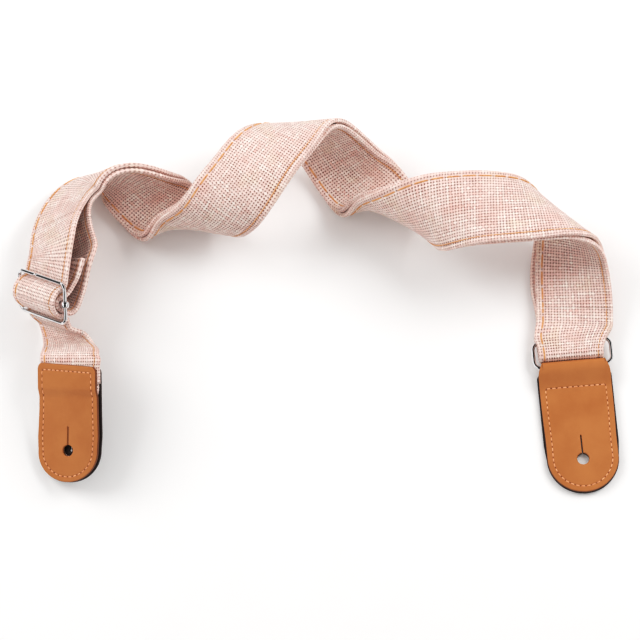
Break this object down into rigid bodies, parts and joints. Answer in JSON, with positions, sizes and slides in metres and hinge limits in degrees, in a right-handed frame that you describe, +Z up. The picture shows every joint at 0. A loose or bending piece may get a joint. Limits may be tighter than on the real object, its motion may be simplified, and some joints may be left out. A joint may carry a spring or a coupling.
{
  "type": "guitar strap",
  "caption": "Doubled linen strap with a sliding wire length adjuster, an end ring and leather button tabs, resting in a loose coil.",
  "frame": {"origin": "on the table under the middle of the right leather tab, on the tab's flat back", "axes": "+X runs from the left end of the coiled strap towards the right tab, +Y from the tabs towards the coil, +Z up off the table"},
  "size_m": [0.4087, 0.2496, 0.0682],
  "materials": {
    "linen": "coarse plain weave, matte, pale pink-beige with slubs",
    "linen_inner": "coarse plain weave, matte, inner run",
    "tan_leather": "smooth tan, satin",
    "dark_backing": "dark brown-black, matte",
    "orange_thread": "twisted topstitch thread",
    "chrome": "bright polished plating"
  },
  "bodies": {
    "coil": {"outer_strap_coil": "linen", "inner_strap_coil": "linen_inner"},
    "left_drop": {"outer_strap_left": "linen", "inner_strap_left": "linen_inner", "outer_strap_lower": "linen"},
    "adjuster": {"adjuster_frame": "chrome", "adjuster_centre_bar": "chrome", "outer_strap_hump": "linen", "inner_strap_end_loop": "linen_inner"},
    "left_tab": {"left_tab_leather": "tan_leather", "left_tab_strap_end": "linen", "left_tab_backing": "dark_backing", "left_tab_stitching": "orange_thread"},
    "right_drop": {"outer_strap_right": "linen", "inner_strap_right": "linen_inner", "strap_ring_fold": "linen"},
    "ring": {"end_ring": "chrome"},
    "right_tab": {"right_tab_leather": "tan_leather", "right_tab_backing": "dark_backing", "right_tab_stitching": "orange_thread"}
  },
  "joints": [
    {"name": "left_flex", "type": "hinge", "parent": "coil", "child": "left_drop", "pos_m": [-0.34871, 0.13322, 0.03218], "axis": [0.6801, -0.101, 0.7261], "range_deg": [-12, 12], "stiffness_Nm_per_rad": 3},
    {"name": "right_flex", "type": "hinge", "parent": "coil", "child": "right_drop", "pos_m": [-0.00316, 0.08679, 0.00925], "axis": [0.9851, -0.0355, 0.1685], "range_deg": [-15, 15], "stiffness_Nm_per_rad": 3},
    {"name": "adjuster_slide", "type": "slide", "parent": "left_drop", "child": "adjuster", "axis": [0.0075, 0.9833, 0.1818], "range_m": [-0.005, 0.006], "stiffness_N_per_m": 400},
    {"name": "left_tab_flex", "type": "hinge", "parent": "left_drop", "child": "left_tab", "pos_m": [-0.3409, 0.0243, 0.0361], "axis": [0.7991, -0.1801, 0.5736], "range_deg": [-35, 35], "stiffness_Nm_per_rad": 1.5},
    {"name": "ring_hinge", "type": "hinge", "parent": "right_drop", "child": "ring", "pos_m": [-0.00458, 0.04957, 0.006], "axis": [0.9962, 0.0872, 0], "range_deg": [-35, 35], "stiffness_Nm_per_rad": 0.5},
    {"name": "right_tab_hinge", "type": "hinge", "parent": "ring", "child": "right_tab", "pos_m": [-0.00302, 0.03163, 0.006], "axis": [0.9962, 0.0872, 0], "range_deg": [-40, 40], "stiffness_Nm_per_rad": 0.5}
  ]
}
